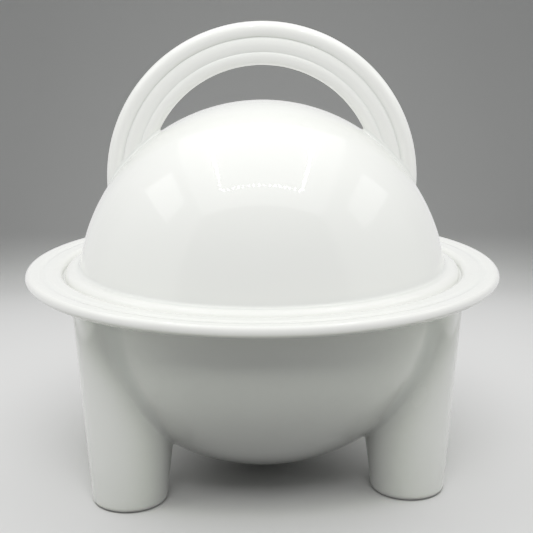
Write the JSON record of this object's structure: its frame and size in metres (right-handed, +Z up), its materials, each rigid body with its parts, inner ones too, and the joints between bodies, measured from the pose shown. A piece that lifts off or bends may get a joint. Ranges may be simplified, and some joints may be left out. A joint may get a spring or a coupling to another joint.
{
  "type": "covered casserole dish",
  "caption": "White glazed covered casserole dish: round bowl with a wide flange, tapered legs, and a domed lift-off lid with a ribbed arch handle.",
  "frame": {"origin": "on the table under the middle of the bowl, in the plane of the three feet", "axes": "+Z up along the bowl's axis; X along the plane of the arch handle; the front of the dish faces -Y"},
  "size_m": [0.2999, 0.3, 0.2887],
  "materials": {
    "white_glaze": "glossy white porcelain glaze"
  },
  "bodies": {
    "dish": {"bowl": "white_glaze", "leg_left": "white_glaze", "leg_right": "white_glaze", "leg_rear": "white_glaze"},
    "cover": {"lid": "white_glaze", "lid_handle": "white_glaze"}
  },
  "joints": [
    {"name": "lid_lift", "type": "slide", "parent": "dish", "child": "cover", "axis": [0, 0, 1], "range_m": [0, 0.2]}
  ]
}
